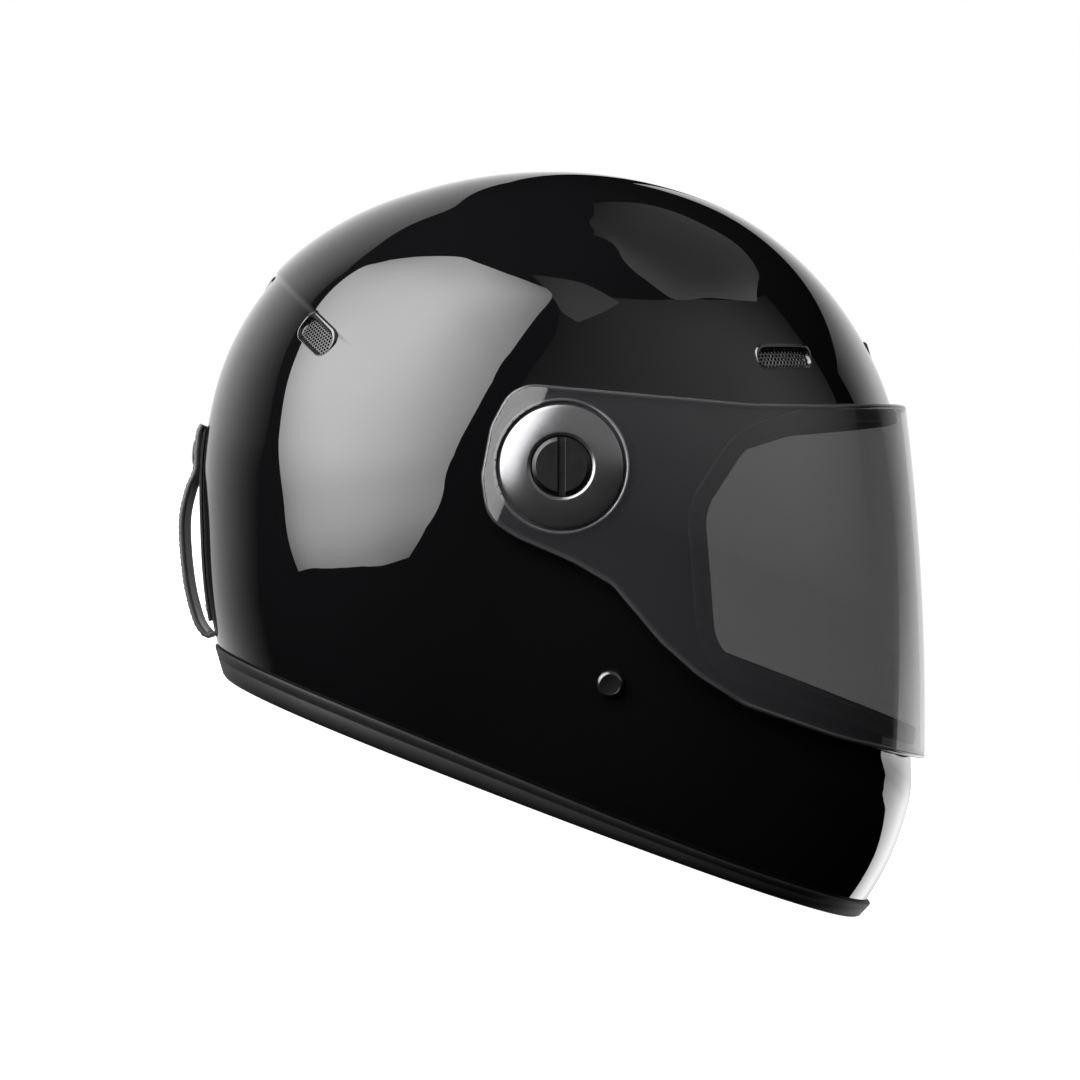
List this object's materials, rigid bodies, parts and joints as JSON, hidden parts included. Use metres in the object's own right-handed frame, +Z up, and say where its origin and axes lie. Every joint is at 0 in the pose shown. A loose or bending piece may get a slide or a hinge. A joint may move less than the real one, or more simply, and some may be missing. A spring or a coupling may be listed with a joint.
{
  "type": "full-face motorcycle helmet",
  "caption": "Full-face motorcycle helmet with a hinged smoked visor, mesh vents, rubber rim trim, padded liner, chin strap and rear goggle strap.",
  "frame": {"origin": "centre of the helmet's box on the plane that its rim rests on", "axes": "+X towards the face opening, +Y to the wearer's left, +Z up with the helmet standing on its rim"},
  "size_m": [0.3436, 0.2598, 0.264],
  "materials": {
    "shell_gloss_black": "gloss",
    "foam_black": "matte",
    "liner_fabric": "matte",
    "pad_fabric": "matte",
    "neck_fabric": "matte",
    "trim_rubber": "satin",
    "gasket_rubber": "matte",
    "visor_smoke": "gloss",
    "hub_plastic": "matte",
    "cover_silver": "satin",
    "screw_black": "satin",
    "rivet_black": "gloss",
    "steel": "satin",
    "webbing_black": "matte",
    "leather_black": "satin",
    "snap_black": "gloss",
    "vent_gloss_black": "gloss",
    "grille_metal": "satin"
  },
  "bodies": {
    "helmet": {"outer_shell": "shell_gloss_black", "impact_liner": "foam_black", "chin_liner": "foam_black", "crown_liner": "liner_fabric", "cheek_pad_right": "pad_fabric", "cheek_pad_left": "pad_fabric", "neck_roll": "neck_fabric", "rim_trim": "trim_rubber", "eyeport_gasket": "gasket_rubber", "pivot_plate_right": "hub_plastic", "pivot_plate_left": "hub_plastic", "pivot_cover_right": "cover_silver", "pivot_cover_left": "cover_silver", "strap_rivet_right": "rivet_black", "strap_rivet_left": "rivet_black", "goggle_strap_base": "leather_black", "goggle_strap_rivet": "steel", "snap_stud": "steel", "brow_vent_frame_right": "vent_gloss_black", "brow_vent_grille_right": "grille_metal", "brow_vent_frame_left": "vent_gloss_black", "brow_vent_grille_left": "grille_metal", "brow_vent_frame_centre": "vent_gloss_black", "brow_vent_grille_centre": "grille_metal", "rear_vent_frame_right": "vent_gloss_black", "rear_vent_grille_right": "grille_metal", "rear_vent_frame_left": "vent_gloss_black", "rear_vent_grille_left": "grille_metal", "rear_vent_frame_centre": "vent_gloss_black", "rear_vent_grille_centre": "grille_metal"},
    "visor": {"visor_lens": "visor_smoke", "visor_hub_ring_right": "hub_plastic", "visor_hub_ring_left": "hub_plastic"},
    "screw_right": {"coin_screw_right": "screw_black"},
    "screw_left": {"coin_screw_left": "screw_black"},
    "chin_strap": {"chin_strap": "webbing_black", "d_rings": "steel", "strap_hanger_right": "steel", "strap_hanger_left": "steel"},
    "goggle_strap": {"goggle_strap": "leather_black", "snap_cap": "snap_black"}
  },
  "joints": [
    {"name": "visor_pivot", "type": "hinge", "parent": "helmet", "child": "visor", "pos_m": [-0.01925, 0, 0.1328], "axis": [0, -1, 0], "range_deg": [0, 60]},
    {"name": "coin_screw_right_turn", "type": "hinge", "parent": "helmet", "child": "screw_right", "pos_m": [-0.01925, -0.12, 0.1328], "axis": [0, -1, 0], "range_deg": [0, 90]},
    {"name": "coin_screw_left_turn", "type": "hinge", "parent": "helmet", "child": "screw_left", "pos_m": [-0.01925, 0.12, 0.1328], "axis": [0, 1, 0], "range_deg": [0, 90]},
    {"name": "chin_strap_swing", "type": "hinge", "parent": "helmet", "child": "chin_strap", "pos_m": [0.02825, 0, 0.0609], "axis": [0, 1, 0], "range_deg": [-6, 6]},
    {"name": "goggle_strap_swing", "type": "hinge", "parent": "helmet", "child": "goggle_strap", "pos_m": [-0.13476, 0, 0.01402], "axis": [0, -1, 0], "range_deg": [0, 55]}
  ]
}
